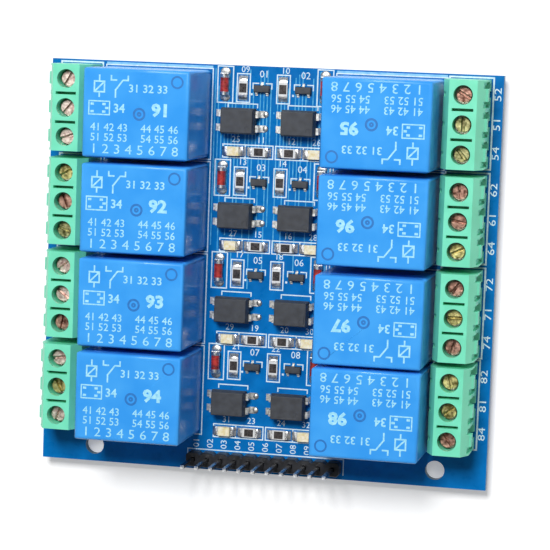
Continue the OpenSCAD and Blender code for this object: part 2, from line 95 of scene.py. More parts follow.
class BoardSizes(bpy.types.PropertyGroup):
    line_width: FloatProperty(
        name="Print line",
        description="Width of the white lines printed on the board",
        default=0.2 * MM,
        unit="LENGTH",
    )
    figure_height: FloatProperty(
        name="Figure height",
        description="Height of the small figures printed on the board",
        default=1.25 * MM,
        unit="LENGTH",
    )
    track_width: FloatProperty(
        name="Track",
        description="Width of a copper track under the mask",
        default=0.3 * MM,
        unit="LENGTH",
    )
    edge_round: FloatProperty(
        name="Moulded edge",
        description="Rounding along the edges of the terminal housings",
        default=0.14 * MM,
        unit="LENGTH",
    )
    small_round: FloatProperty(
        name="Small edge",
        description="Rounding along the edges of the screw heads and optocouplers",
        default=0.1 * MM,
        unit="LENGTH",
    )
    edge_steps: IntProperty(
        name="Edge steps",
        description="Faces across a rounded edge",
        default=2,
        min=1,
        max=4,
    )


class BoardColours(bpy.types.PropertyGroup):
    mask: hex_colour("Solder mask", "Blue solder mask over bare laminate", "#0076c2")
    track: hex_colour("Mask on copper", "Blue solder mask where copper lies under it", "#62bde6")
    laminate: hex_colour("Laminate", "Cut edge of the glass-fibre board", "#4f7c94")
    print_white: hex_colour("Print", "White print on the board", "#e9f7fc")
    case: hex_colour("Relay case", "Moulded polyester of the relay cases", "#48aafa")
    case_print: hex_colour("Case print", "Pale print on the relay cases", "#b4f0ff")
    terminal: hex_colour("Terminal housing", "Moulded nylon of the terminal blocks", "#7eedc6")
    rose: hex_colour("Screw, rose", "Plated screw head with a rosy tint", "#fde8dd")
    copper: hex_colour("Screw, copper", "Plated screw head with a copper tint", "#dcab98")
    brass: hex_colour("Screw, brass", "Plated screw head with a brass tint", "#eee09a")
    olive: hex_colour("Screw, olive", "Plated screw head with an olive tint", "#c8c18c")
    epoxy: hex_colour("Moulded epoxy", "Optocouplers and transistors", "#42454a")
    glass: hex_colour("Diode glass", "Red glass body of the diodes", "#c4362c")
    lamp: hex_colour("Lamp", "Cream resin of the lamps", "#fbf4de")


class BoardStage(bpy.types.PropertyGroup):
    eye: FloatVectorProperty(
        name="Eye",
        description="Place of the camera",
        default=(0.08638, 0.04332, 0.40036),
        subtype="XYZ",
        unit="LENGTH",
    )
    aim: FloatVectorProperty(
        name="Aim",
        description="Point on the board that the camera looks at",
        default=(0.00152, -0.00045, 0.0038),
        subtype="XYZ",
        unit="LENGTH",
    )
    roll: FloatProperty(
        name="Roll",
        description="Turn of the camera about its own axis, from the board's far edge up",
        default=math.radians(2.059),
        subtype="ANGLE",
    )
    lens: FloatProperty(
        name="Lens",
        description="Focal length on a 36 mm wide frame, in millimetres",
        default=150.5,
    )
    softbox: FloatVectorProperty(
        name="Softbox",
        description="Place of the softbox, which looks at the origin",
        default=(-0.02, 0.35, 0.70),
        subtype="XYZ",
        unit="LENGTH",
    )
    softbox_size: FloatProperty(
        name="Softbox size",
        description="Side of the square softbox",
        default=0.24,
        unit="LENGTH",
    )
    softbox_power: FloatProperty(
        name="Softbox power",
        description="Power of the softbox, in watts",
        default=5.6,
    )
    room_light: FloatProperty(
        name="Room light",
        description="Strength of the even white light from all round",
        default=0.2,
    )
    floor_lift: FloatProperty(
        name="Floor lift",
        description="Light that the paper adds of its own where something looks at it",
        default=0.3,
    )


def sizes():
    """The scene's sizes of print, tracks and rounded edges"""
    return bpy.context.scene.relay_board_sizes


def colours():
    """The scene's main colour of each material"""
    return bpy.context.scene.relay_board_colours


# ---------------------------------------------------------------- materials


def linear(colour):
    """An sRGB colour, as hex or as three numbers from 0 to 1, as linear RGBA"""
    if isinstance(colour, str):
        colour = from_hex(colour)
    bright = [c / 12.92 if c <= 0.04045 else ((c + 0.055) / 1.055) ** 2.4 for c in colour]
    return (*bright, 1.0)


def add(tree, kind, sockets=None, **fields):
    """Adds a node. A socket gets a value, or a link if it is given another node's output"""
    node = tree.nodes.new(kind)
    for key, value in fields.items():
        setattr(node, key, value)
    for key, value in (sockets or {}).items():
        if isinstance(value, bpy.types.NodeSocket):
            tree.links.new(value, node.inputs[key])
        else:
            node.inputs[key].default_value = value
    return node


def finish(name, light, dark, blotch_mm, rough, grain_mm=0.3, depth_mm=0.0, **settings):
    """A finish whose colour and gloss wander in blotches, over a fine grain of real depth

    light and dark are the ends of its colour and rough the ends of its roughness.
    """
    made = bpy.data.materials.new(name)
    made.use_nodes = True
    tree = made.node_tree
    shader = tree.nodes["Principled BSDF"]
    for key, value in settings.items():
        shader.inputs[key.replace("_", " ")].default_value = value
    where = add(tree, "ShaderNodeTexCoord").outputs["Object"]
    noise = add(tree, "ShaderNodeTexNoise", {"Vector": where, "Scale": 1 / (blotch_mm * MM)})
    spread = add(tree, "ShaderNodeMapRange", {"Value": noise.outputs["Fac"], **NOISE_ENDS})
    # sockets 6 and 7 of a colour mix are its two colours, and output 2 is the result
    mixed = add(
        tree,
        "ShaderNodeMix",
        {0: spread.outputs["Result"], 6: linear(dark), 7: linear(light)},
        data_type="RGBA",
    )
    tree.links.new(mixed.outputs[2], shader.inputs["Base Color"])
    noise = add(tree, "ShaderNodeTexNoise", {"Vector": where, "Scale": 2 / (blotch_mm * MM)})
    worn = {"Value": noise.outputs["Fac"], "To Min": rough[0], "To Max": rough[1]}
    spread = add(tree, "ShaderNodeMapRange", {**worn, **NOISE_ENDS})
    tree.links.new(spread.outputs["Result"], shader.inputs["Roughness"])
    if depth_mm:
        noise = add(tree, "ShaderNodeTexNoise", {"Vector": where, "Scale": 1 / (grain_mm * MM)})
        height = {"Height": noise.outputs["Fac"], "Distance": depth_mm * MM}
        height["Strength"] = GRAIN_STRENGTH
        grain = add(tree, "ShaderNodeBump", height)
        tree.links.new(grain.outputs["Normal"], shader.inputs["Normal"])
    return made


def board_mask():
    """Glass-fibre laminate under blue solder mask: glossy, slightly mottled by the weave"""
    c = colours()
    made = finish(
        "solder mask on laminate",
        c.mask,
        "#0068b0",
        blotch_mm=3.0,
        rough=(0.26, 0.38),
        grain_mm=0.9,
        depth_mm=0.012,
        Specular_IOR_Level=0.12,
    )
    tree = made.node_tree
    shader = tree.nodes["Principled BSDF"]
    blue = shader.inputs["Base Color"].links[0].from_socket
    # the cut edges look sideways: there the bare laminate shows
    normal = add(tree, "ShaderNodeTexCoord").outputs["Normal"]
    upward = add(tree, "ShaderNodeSeparateXYZ", {"Vector": normal}).outputs["Z"]
    flat = add(tree, "ShaderNodeMath", {0: upward}, operation="ABSOLUTE").outputs[0]
    edged = add(
        tree,
        "ShaderNodeMix",
        {0: flat, 6: linear(c.laminate), 7: blue},
        data_type="RGBA",
    )
    tree.links.new(edged.outputs[2], shader.inputs["Base Color"])
    return made


def masked_copper():
    """Copper under the mask: the same gloss in a paler blue, as the metal throws light back"""
    return finish(
        "solder mask on copper", colours().track, "#3a9cd0", blotch_mm=1.2, rough=(0.22, 0.34)
    )


def thin_mask():
    """A paler blue for a wide strip of mask near the board's edge"""
    return finish(
        "pale solder mask strip", "#a2d6ee", "#74b8de", blotch_mm=2.0, rough=(0.25, 0.4)
    )


def silk_print():
    """Screen-printed white ink: matt, a little blue where it lies thin over the mask"""
    return finish(
        "screen printed ink", colours().print_white, "#c6e2f0", blotch_mm=0.5, rough=(0.5, 0.7)
    )


def relay_plastic():
    """Injection-moulded polyester: smooth and glossy, with the orange peel of its mould"""
    return finish(
        "moulded polyester",
        colours().case,
        "#3a9ef4",
        blotch_mm=6.0,
        rough=(0.16, 0.26),
        grain_mm=0.35,
        depth_mm=0.006,
        Specular_IOR_Level=0.14,
    )


def mould_mark():
    """Painted shade in the rings where the ejector pins pressed: the same polyester, matt and
    deeper in colour
    """
    return finish(
        "polyester, painted ring shade", "#1f7bcc", "#1a70bd", blotch_mm=0.6, rough=(0.45, 0.6)
    )


def case_ink():
    """Pad-printed pale ink on the cases: matt, thinner in places so that the blue shows"""
    return finish(
        "pad printed ink", colours().case_print, "#8fd8f8", blotch_mm=0.6, rough=(0.4, 0.6)
    )


def terminal_nylon():
    """Moulded nylon, mint green: satin, and light passes a little way into it"""
    return finish(
        "moulded nylon",
        colours().terminal,
        "#74e3bb",
        blotch_mm=4.0,
        rough=(0.34, 0.48),
        grain_mm=0.25,
        depth_mm=0.008,
        Subsurface_Weight=0.08,
        Subsurface_Radius=(0.5, 1.0, 0.8),
        Subsurface_Scale=0.8 * MM,
    )


def plated_screw(name, colour, dark):
    """Plated steel screw: bright, dented and dulled by drivers, its tint uneven"""
    return finish(
        name,
        colour,
        dark,
        blotch_mm=0.8,
        rough=(0.36, 0.56),
        grain_mm=0.35,
        depth_mm=0.06,
        Metallic=1.0,
    )


def sheet_metal(name, light, dark, rough=(0.25, 0.45), blotch_mm=0.6):
    """Tinned or plated metal: bright, with a slightly uneven skin"""
    return finish(name, light, dark, blotch_mm, rough, Metallic=1.0)


def dark_moulding(name, light, dark, rough, grain_mm=0.18):
    """Filled black moulding: its fine eroded grain greys the top towards charcoal

    The real grain is too fine to show, so it is drawn coarser.
    """
    return finish(name, light, dark, 1.2, rough, grain_mm, depth_mm=0.012)


def red_glass():
    """Thin glass tube, red inside: a clear coat over a deep red body"""
    return finish(
        "red glass",
        colours().glass,
        "#74201a",
        blotch_mm=0.8,
        rough=(0.25, 0.35),
        Coat_Weight=1.0,
        Coat_Roughness=0.25,
    )


def lamp_resin():
    """Cream casting resin, in which the yellowish chip glimmers"""
    return finish(
        "cream casting resin",
        colours().lamp,
        "#ead9a4",
        blotch_mm=0.7,
        rough=(0.25, 0.35),
        Subsurface_Weight=0.2,
        Subsurface_Radius=(1.0, 0.8, 0.4),
        Subsurface_Scale=0.3 * MM,
    )


# ---------------------------------------------------------------- mesh helpers


def piece(name, bm, material, replaces=()):
    """Turns a bmesh into a named piece that rides on the part"""
    mesh = bpy.data.meshes.new(name)
    bm.to_mesh(mesh)
    bm.free()
    obj = bpy.data.objects.new(name, mesh)
    bpy.context.scene.collection.objects.link(obj)
    mesh.materials.append(material)
    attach(obj, "root")
    if replaces:
        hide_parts(*replaces)
    return obj


def dress(node, material):
    """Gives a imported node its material"""
    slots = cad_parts[node].data.materials
    slots.clear()
    slots.append(material)


def smooth(obj, angle=35):
    """Smooth shading that keeps edges sharper than the angle"""
    obj.data.shade_smooth()
    obj.data.set_sharp_from_angle(angle=math.radians(angle))
    return obj


def middle(box):
    """The centre of a box"""
    return (box[0] + box[1]) / 2


def bar(bm, start, end, width, low, high):
    """A flat bar from start to end, between two heights

    Its top rises a hair with its direction, so that bars that cross never share a top.
    """
    start, end = Vector(start[:2]), Vector(end[:2])
    run = end - start
    mid = (start + end) / 2
    turn = math.atan2(run.y, run.x)
    high += INK / 4 * (turn % math.pi) / math.pi
    place = (
        Matrix.Translation((mid.x, mid.y, (low + high) / 2))
        @ Matrix.Rotation(turn, 4, "Z")
        @ Matrix.Diagonal((run.length + width, width, high - low, 1.0))
    )
    bmesh.ops.create_cube(bm, size=1.0, matrix=place)


def path(bm, points, width, low, high, closed=False):
    """Bars from point to point, and back to the first if the path is closed"""
    ends = points[1:] + points[:1] if closed else points[1:]
    for start, end in zip(points, ends):
        bar(bm, start, end, width, low, high)


def rectangle(bm, low, high, width, thick=INK):
    """A printed frame between two corners, kept on the board"""
    bare = 0.05 * MM  # left between the print and the board's edge
    edge = width / 2 + bare
    x0, y0 = max(low.x, BOARD_LOW.x + edge), max(low.y, BOARD_LOW.y + edge)
    x1, y1 = min(high.x, BOARD_HIGH.x - edge), min(high.y, BOARD_HIGH.y - edge)
    path(bm, [(x0, y0), (x1, y0), (x1, y1), (x0, y1)], width, TOP, TOP + thick, closed=True)


def figures(bm, text, place, height, turn=0.0, stretch=1.0, bold=0.0):
    """Plain figures laid flat at a place, centred, with their feet turned by an angle"""
    curve = bpy.data.curves.new("figures", "FONT")
    curve.body = text
    curve.size = height * 1.4  # the font's figures are shorter than its size
    curve.align_x = "CENTER"
    curve.align_y = "CENTER"
    curve.extrude = INK / 2
    curve.offset = height * bold
    curve.resolution_u = 2
    carrier = bpy.data.objects.new("figures", curve)
    mesh = bpy.data.meshes.new_from_object(carrier)
    move = (
        Matrix.Translation(Vector(place) + Vector((0, 0, INK / 2)))
        @ Matrix.Rotation(turn, 4, "Z")
        @ Matrix.Diagonal((stretch, 1.0, 1.0, 1.0))
    )
    mesh.transform(move)
    bm.from_mesh(mesh)
    bpy.data.objects.remove(carrier)
    bpy.data.curves.remove(curve)
    bpy.data.meshes.remove(mesh)


def welded(node):
    """A bmesh copy of a node with its loose triangles joined"""
    bm = bmesh.new()
    bm.from_mesh(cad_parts[node].data)
    bmesh.ops.remove_doubles(bm, verts=bm.verts, dist=WELD)
    return bm


def islands(node):
    """(lowest corner, highest corner) of each separate solid, in the order of the mesh"""
    bm = welded(node)
    met = set()
    found = []
    for seed in bm.verts:
        if seed in met:
            continue
        met.add(seed)
        group, front = [seed], [seed]
        while front:
            for edge in front.pop().link_edges:
                for vert in edge.verts:
                    if vert not in met:
                        met.add(vert)
                        group.append(vert)
                        front.append(vert)
        spots = [v.co for v in group]
        low = Vector([min(s[i] for s in spots) for i in range(3)])
        high = Vector([max(s[i] for s in spots) for i in range(3)])
        found.append((low, high))
    bm.free()
    return found


def recast(node, name, material, width=0.0, steps=2, shade=35):
    """A copy of a node with its straight outer edges rounded, in place of the node"""
    flat = math.radians(1)  # faces that meet at less become one face
    edgy = math.radians(25)  # only edges that turn by more are rounded
    bm = welded(node)
    bmesh.ops.dissolve_limit(bm, angle_limit=flat, verts=bm.verts, edges=bm.edges)
    if width:
        # an edge shorter than four times the rounding has no room for it
        sharp = [
            e
            for e in bm.edges
            if len(e.link_faces) == 2
            and e.calc_length() > 4 * width
            and e.is_convex
            and e.calc_face_angle() > edgy
        ]
        bmesh.ops.bevel(
            bm,
            geom=sharp,
            offset=width,
            offset_type="OFFSET",
            affect="EDGES",
            segments=steps,
            profile=0.5,
            clamp_overlap=True,
            material=-1,
        )
    made = smooth(piece(name, bm, material, [node]), shade)
    even = made.modifiers.new("flat faces stay flat", "WEIGHTED_NORMAL")
    even.keep_sharp = True
    return made


# ---------------------------------------------------------------- operators


class RELAYBOARD_OT_stage(bpy.types.Operator):
    """Sets up the pale floor, the softbox, the world and the camera"""

    bl_idname = "relayboard.stage"
    bl_label = "Stage"

    def execute(self, context):
        scene = context.scene
        scene.view_settings.view_transform = "Standard"
        self.camera(scene, scene.relay_board_stage)
        self.floor(scene, scene.relay_board_stage)
        self.light(scene, scene.relay_board_stage)
        return {"FINISHED"}

    def camera(self, scene, set_up):
        """Looks down at the board, with the board's far edge up but for the roll"""
        data = bpy.data.cameras.new("camera")
        data.sensor_width = 36.0
        data.lens = set_up.lens
        obj = bpy.data.objects.new("camera", data)
        scene.collection.objects.link(obj)
        eye, aim = Vector(set_up.eye), Vector(set_up.aim)
        back = (eye - aim).normalized()
        right = Vector((0.0, 1.0, 0.0)).cross(back).normalized()
        turn = Matrix((right, back.cross(right), back)).transposed().to_4x4()
        obj.matrix_world = Matrix.Translation(eye) @ turn @ Matrix.Rotation(set_up.roll, 4, "Z")
        scene.camera = obj

    def floor(self, scene, set_up):
        """White paper. Where something looks at it, a little light of its own keeps it white"""
        made = finish(
            "white paper",
            "#f6f6f6",
            "#f1f1f1",
            blotch_mm=8.0,
            rough=(0.85, 0.95),
            Emission_Color=(1, 1, 1, 1),
        )
        tree = made.node_tree
        rays = add(tree, "ShaderNodeLightPath").outputs
        seen = rays["Is Camera Ray"]
        for other in ("Is Glossy Ray", "Is Transmission Ray"):
            pair = {0: seen, 1: rays[other]}
            seen = add(tree, "ShaderNodeMath", pair, operation="MAXIMUM").outputs[0]
        pair = {0: seen, 1: set_up.floor_lift}
        lift = add(tree, "ShaderNodeMath", pair, operation="MULTIPLY")
        shader = tree.nodes["Principled BSDF"]
        tree.links.new(lift.outputs[0], shader.inputs["Emission Strength"])
        bm = bmesh.new()
        far = 3.0  # metres from the middle to the floor's edges
        bmesh.ops.create_grid(bm, x_segments=1, y_segments=1, size=far)
        mesh = bpy.data.meshes.new("floor")
        bm.to_mesh(mesh)
        bm.free()
        mesh.materials.append(made)
        obj = bpy.data.objects.new("floor", mesh)
        scene.collection.objects.link(obj)

    def light(self, scene, set_up):
        """One softbox beyond the upper edge, and an even white world"""
        world = bpy.data.worlds.new("studio")
        scene.world = world
        world.use_nodes = True
        background = world.node_tree.nodes["Background"]
        background.inputs["Color"].default_value = (1, 1, 1, 1)
        background.inputs["Strength"].default_value = set_up.room_light
        data = bpy.data.lights.new("softbox", "AREA")
        data.shape = "SQUARE"
        data.size = set_up.softbox_size
        data.energy = set_up.softbox_power
        obj = bpy.data.objects.new("softbox", data)
        scene.collection.objects.link(obj)
        place = Vector(set_up.softbox)
        obj.location = place
        obj.rotation_mode = "QUATERNION"
        obj.rotation_quaternion = (-place).to_track_quat("-Z", "Y")


class RELAYBOARD_OT_board(bpy.types.Operator):
    """Dresses the board and lays its copper tracks under the mask"""

    bl_idname = "relayboard.board"
    bl_label = "Circuit board"

    # in turn, how far down each track starts, and the share of the whole run it ends at:
    # they end at different rows, so that they thin out downwards
    STARTS = (0.0, 3.1, 7.4, 1.2, 0.6)
    REACHES = (0.5, 0.36, 0.62, 0.22, 0.47, 0.31, 0.57, 0.44, 0.12)

    def execute(self, context):
        dress("circuit_board", board_mask())
        bm = bmesh.new()
        self.channel_tracks(bm)
        piece("board_tracks", bm, masked_copper())
        bm = bmesh.new()
        self.edge_pours(bm)
        piece("board_pale_strips", bm, thin_mask())
        return {"FINISHED"}

    def edge_pours(self, bm):
        """A wide paler strip along the upper edge, past the relay of either column"""
        bare = 0.5 * MM  # board left plain, above and below the strip together
        thick = INK / 3
        for k in UPPERMOST:
            low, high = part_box(f"relay_case_{k}")
            y = (high.y + BOARD_HIGH.y) / 2
            wide = BOARD_HIGH.y - high.y - bare
            bar(bm, (low.x, y), (high.x, y), wide, TOP, TOP + thick)

    def channel_tracks(self, bm):
        """Fine tracks that run down the open channel from the upper edge"""
        width = sizes().track_width
        shown = 0.6 * width  # the pale middle of a track
        thick = INK / 2
        # room left at the relays on either side, at the board's edge and over the header
        at_left, at_right, at_head, at_foot = 0.8 * MM, 0.6 * MM, 0.7 * MM, 6.0 * MM
        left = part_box("relay_case_1")[1].x + at_left
        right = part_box("relay_case_5")[0].x - at_right
        head = BOARD_HIGH.y - at_head
        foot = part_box("header_strip")[1].y + at_foot
        count = int((right - left) / (2.0 * width))
        for i in range(count):
            x = left + (right - left) * i / (count - 1)
            start = head - self.STARTS[i % len(self.STARTS)] * MM
            end = head - (head - foot) * self.REACHES[i % len(self.REACHES)]
            if start > end:
                bar(bm, (x, start), (x, end), shown, TOP, TOP + thick)


class RELAYBOARD_OT_print(bpy.types.Operator):
    """Prints the white outlines and plain figures on the board"""

    bl_idname = "relayboard.print"
    bl_label = "Board print"

    ASIDE = 0.3 * MM  # numbers stand this far right of the middle of what they count
    SMALL = 0.9  # height of the smaller numbers, as a share of the figure height
    # the node, then the distances in millimetres from each body to the middle of its
    # frame's line, beyond its ends and beside it, and the thickness of the print:
    # neighbours overlap, so no two kinds share a top
    FRAMES = (
        ("diode_glass", 1.95, 0.65, INK * 1.3),
        ("resistors", 1.35, 0.36, INK),
        ("lamps", 0.9, 0.36, INK * 1.6),
    )
    # place of each pole along its block, and its usual contact number: 1 common,
    # 2 closed at rest, 4 open at rest
    POLES = ((-1, 4), (0, 1), (1, 2))

    def execute(self, context):
        bm = bmesh.new()
        self.chip_frames(bm)
        self.transistor_marks(bm)
        self.opto_brackets(bm)
        self.block_outlines(bm)
        self.header_outline(bm)
        piece("board_print", bm, silk_print())
        return {"FINISHED"}

    def chip_frames(self, bm):
        """A frame round each chip and diode, and a number above each chip"""
        line = sizes().line_width
        tall = sizes().figure_height
        rise = 0.9  # from the frame's line to the middle of the number, in millimetres
        half = 0.55 * tall  # half a number's height, with a little to spare
        number = 0
        for node, along, aside, thick in self.FRAMES:
            for low, high in sorted(islands(node), key=lambda box: (-box[0].y, box[0].x)):
                number += 1
                size = high - low
                upright = size.y > size.x
                grow = Vector((aside, along, 0) if upright else (along, aside, 0)) * MM
                rectangle(bm, low - grow, high + grow, line, thick)
                if node == "diode_glass":
                    continue
                lift = (along if upright else aside) + rise
                y = min(high.y + lift * MM, BOARD_HIGH.y - half)
                place = (middle((low, high)).x + self.ASIDE, y, TOP)
                figures(bm, f"{number:02d}", place, tall * self.SMALL)

    def transistor_marks(self, bm):
        """Corner lines over each transistor and a dot beside its first lead"""
        line = sizes().line_width
        over, beside = 0.3 * MM, 0.25 * MM  # from the body to the lines
        across, down = 1.0 * MM, 0.9 * MM  # the two arms of a corner
        dot, dot_left, dot_low = 0.35 * MM, 0.45 * MM, 0.35 * MM
        short = 0.01 * MM  # a bar needs some length, also where it makes a dot
        rise = 1.9 * MM  # from the body to the middle of the number
        ordered = sorted(islands("transistors"), key=lambda box: (-box[0].y, box[0].x))
        for number, (low, high) in enumerate(ordered, 1):
            y = high.y + over
            for side in (-1, 1):
                outer = (high.x if side > 0 else low.x) + side * beside
                inner = outer - side * across
                path(bm, [(inner, y), (outer, y), (outer, y - down)], line, TOP, TOP + INK)
            x, y = low.x - dot_left, low.y - dot_low
            bar(bm, (x, y), (x + short, y), dot, TOP, TOP + INK)
            place = (middle((low, high)).x + self.ASIDE, high.y + rise, TOP)
            figures(bm, f"{number:02d}", place, sizes().figure_height)

    def opto_brackets(self, bm):
        """A line over each optocoupler, with its ends turned down"""
        line = sizes().line_width
        over, drop = 0.72 * MM, 0.62 * MM
        from_left, from_right = 0.75 * MM, 0.1 * MM  # the ends, in from the body's sides
        for low, high in islands("optocouplers"):
            y = high.y + over
            left, right = low.x + from_left, high.x - from_right
            points = [(left, y - drop), (left, y), (right, y), (right, y - drop)]
            path(bm, points, line, TOP, TOP + INK)

    def block_outlines(self, bm):
        """Outlines of the terminal blocks, the figures of their poles and the relay outlines"""
        line = sizes().line_width
        round_block = Vector((0.05, 0.3, 0)) * MM
        round_case = Vector((0.3, 0.3, 0)) * MM
        heavy, thick = line * 1.4, INK * 1.3  # the blocks' outlines
        beside = 0.9 * MM  # from the block to the middle of its figures
        for k in PIECES:
            low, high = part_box(f"terminal_housing_{k}")
            rectangle(bm, low - round_block, high + round_block, heavy, thick)
            low_case, high_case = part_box(f"relay_case_{k}")
            rectangle(bm, low_case - round_case, high_case + round_case, line)
            side = 1 if k in RIGHT else -1
            edge = high.x if side > 0 else low.x
            turn = math.radians(90 * side)
            for pole, contact in self.POLES:
                y = middle((low, high)).y + side * pole * (high.y - low.y) / 3
                place = (edge + side * beside, y, TOP)
                figures(bm, f"{k}{contact}", place, sizes().figure_height, turn, stretch=1.4)

    def header_outline(self, bm):
        """A line round the header's far side, and its pins' numbers beyond the line"""
        line = sizes().line_width
        over, beside = 0.25 * MM, 0.3 * MM
        rise = 1.15 * MM  # from the line to the middle of the numbers
        tall = sizes().figure_height * self.SMALL
        low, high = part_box("header_strip")
        y = high.y + over
        x0, x1 = low.x - beside, high.x + beside
        path(bm, [(x0, low.y), (x0, y), (x1, y), (x1, low.y)], line, TOP, TOP + INK)
        pins = islands("header_pins")
        for number, pin in enumerate(sorted(pins, key=lambda box: box[0].x), 1):
            place = (middle(pin).x, y + rise, TOP)
            figures(bm, f"{number:02d}", place, tall, math.radians(90), stretch=1.1)


class RELAYBOARD_OT_relays(bpy.types.Operator):
    """Dresses the relays and prints counting figures and a contact diagram on their cases"""

    bl_idname = "relayboard.relays"
    bl_label = "Relays"

    # All places are in millimetres from the middle of the case, with its print upright.
    # Rings left by the mould, each painted darker as the shade of its groove: place, inner and
    # outer radius
    RINGS = ((7.3, 5.7, 0.8, 1.12), (0.7, 0.0, 0.74, 1.12), (0.7, 0.0, 0.1, 0.42))
    # coil with its two ends, and a change-over contact
    COIL = ((-7.4, 3.6), (-5.6, 3.6), (-5.6, 5.4), (-7.4, 5.4))
    DIAGRAM = (
        ((-7.3, 3.7), (-5.7, 5.3)),
        ((-6.5, 5.4), (-6.5, 6.4)),
        ((-6.5, 3.6), (-6.5, 2.8)),
        ((-3.6, 2.8), (-3.6, 4.0), (-2.4, 5.6)),
        ((-4.4, 6.4), (-4.4, 5.7), (-3.5, 5.7)),
        ((-1.4, 6.4), (-1.4, 5.7), (-2.2, 5.7)),
    )
    # layout of the five pins
    LAYOUT = ((-8.3, -0.3), (-4.6, -0.3), (-4.6, 2.0), (-8.3, 2.0))
    PINS = ((-7.7, 1.5), (-7.7, 0.2), (-5.6, 1.5), (-5.6, 0.2), (-5.1, 0.85))
    # counting figures, which rate and name nothing; # stands for the relay, so that 91
    # to 98 number the relays. Then place, height, stretch and boldness
    FIGURES = (
        ("31 32 33", 2.2, 4.3, 1.35, 1.05, 0.02),
        ("34", -2.9, 0.8, 1.5, 1.0, 0.03),
        ("9#", 4.5, 0.7, 2.1, 1.1, 0.06),
        ("41 42 43", -4.6, -2.5, 1.35, 1.0, 0.01),
        ("44 45 46", 4.4, -2.5, 1.35, 1.0, 0.01),
        ("51 52 53", -4.6, -4.25, 1.35, 1.0, 0.01),
        ("54 55 56", 4.4, -4.25, 1.35, 1.0, 0.01),
        ("1 2 3 4 5 6 7 8", 0.0, -6.25, 1.65, 1.15, 0.0),
    )

    def execute(self, context):
        plastic = relay_plastic()
        ink = case_ink()
        # the darker blue of the rings is painted shade of the mould's ring grooves
        ring_shade = mould_mark()
        plate = dark_moulding("epoxy sealed base", "#24304a", "#1a2233", (0.45, 0.6))
        works = sheet_metal("enamelled copper wire", "#c9713c", "#a4562a")
        for k in PIECES:
            recast(f"relay_case_{k}", f"relay_case_skin_{k}", plastic)
            self.mould_marks(k, ring_shade)
            dress(f"relay_base_{k}", plate)
            dress(f"relay_works_{k}", works)
            self.case_print(k, ink)
        return {"FINISHED"}

    def mould_marks(self, k, ring_shade):
        """Painted shade: a darker matt ring in a corner of the case, and two rings in its middle
        """
        low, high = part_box(f"relay_case_{k}")
        centre = middle((low, high))
        side = -1 if k in RIGHT else 1
        thick = INK / 2
        bm = bmesh.new()
        for x, y, inner, outer in self.RINGS:
            spot = Vector((centre.x + side * x * MM, centre.y + side * y * MM, high.z))
            corners = [(inner, 0), (outer, 0), (outer, thick), (inner, thick)]
            verts = [bm.verts.new(spot + Vector((r * MM, 0, z))) for r, z in corners]
            edges = [bm.edges.new((verts[i - 1], verts[i])) for i in range(4)]
            bmesh.ops.spin(
                bm,
                geom=verts + edges,
                cent=spot,
                axis=(0, 0, 1),
                angle=2 * math.pi,
                steps=32,
                use_merge=True,
            )
        bmesh.ops.recalc_face_normals(bm, faces=bm.faces)
        piece(f"relay_ring_shades_{k}", bm, ring_shade)

    def case_print(self, k, ink):
        """A plain contact diagram and counting figures in pale ink"""
        low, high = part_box(f"relay_case_{k}")
        centre = middle((low, high))
        turn = math.pi if k in RIGHT else 0.0
        line = 0.28 * MM
        fine = line * 0.8
        dot, half = 0.4 * MM, 0.1  # width of a pin's dot, and half its length before that
        bm = bmesh.new()
        self.strokes(bm, self.COIL, line, closed=True)
        for points in self.DIAGRAM:
            self.strokes(bm, points, line)
        self.strokes(bm, self.LAYOUT, fine, closed=True)
        for x, y in self.PINS:
            self.strokes(bm, [(x - half, y), (x + half, y)], dot)
        for text, x, y, tall, wide, bold in self.FIGURES:
            text = text.replace("#", str(k))
            figures(bm, text, (x * MM, y * MM, 0.0), tall * MM, 0.0, wide, bold)
        place = Matrix.Translation((centre.x, centre.y, high.z)) @ Matrix.Rotation(turn, 4, "Z")
        bmesh.ops.transform(bm, matrix=place, verts=bm.verts)
        piece(f"relay_print_{k}", bm, ink)

    def strokes(self, bm, points, line, closed=False):
        """Printed lines through points given in millimetres"""
        path(bm, [(x * MM, y * MM) for x, y in points], line, 0.0, INK, closed)


class RELAYBOARD_OT_terminals(bpy.types.Operator):
    """Rounds the terminal housings and finishes their screws and clamps"""

    bl_idname = "relayboard.terminals"
    bl_label = "Terminal blocks"

    # tints of the three screws of each block, from the board's upper edge down:
    # 0 rose, 1 copper, 2 brass, 3 olive
    TINTS = (
        (0, 0, 0), (2, 1, 3), (0, 0, 1), (0, 2, 0),
        (1, 3, 3), (1, 1, 2), (1, 2, 1), (2, 2, 1),
    )

    def execute(self, context):
        c = colours()
        nylon = terminal_nylon()
        tints = (
            plated_screw("rosy plating", c.rose, "#b8968d"),
            plated_screw("copper tinted plating", c.copper, "#5a3a2e"),
            plated_screw("brass tinted plating", c.brass, "#6f6436"),
            plated_screw("olive tinted plating", c.olive, "#55542f"),
        )
        cage = sheet_metal("nickel plated brass", "#c9c4b2", "#a8a28c")
        step = sizes()
        for k in PIECES:
            recast(
                f"terminal_housing_{k}",
                f"terminal_block_{k}",
                nylon,
                step.edge_round,
                step.edge_steps,
            )
            screws = recast(
                f"terminal_screws_{k}",
                f"clamp_screws_{k}",
                tints[0],
                step.small_round,
            )
            self.tint_screws(k, screws, tints)
            dress(f"terminal_clamps_{k}", cage)
        return {"FINISHED"}

    def tint_screws(self, k, screws, tints):
        """Sets each screw's tint by its place along the block"""
        for tint in tints[1:]:
            screws.data.materials.append(tint)
        low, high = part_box(f"terminal_screws_{k}")
        for face in screws.data.polygons:
            third = int(3 * (high.y - face.center.y) / (high.y - low.y))
            face.material_index = self.TINTS[k - 1][min(max(third, 0), 2)]


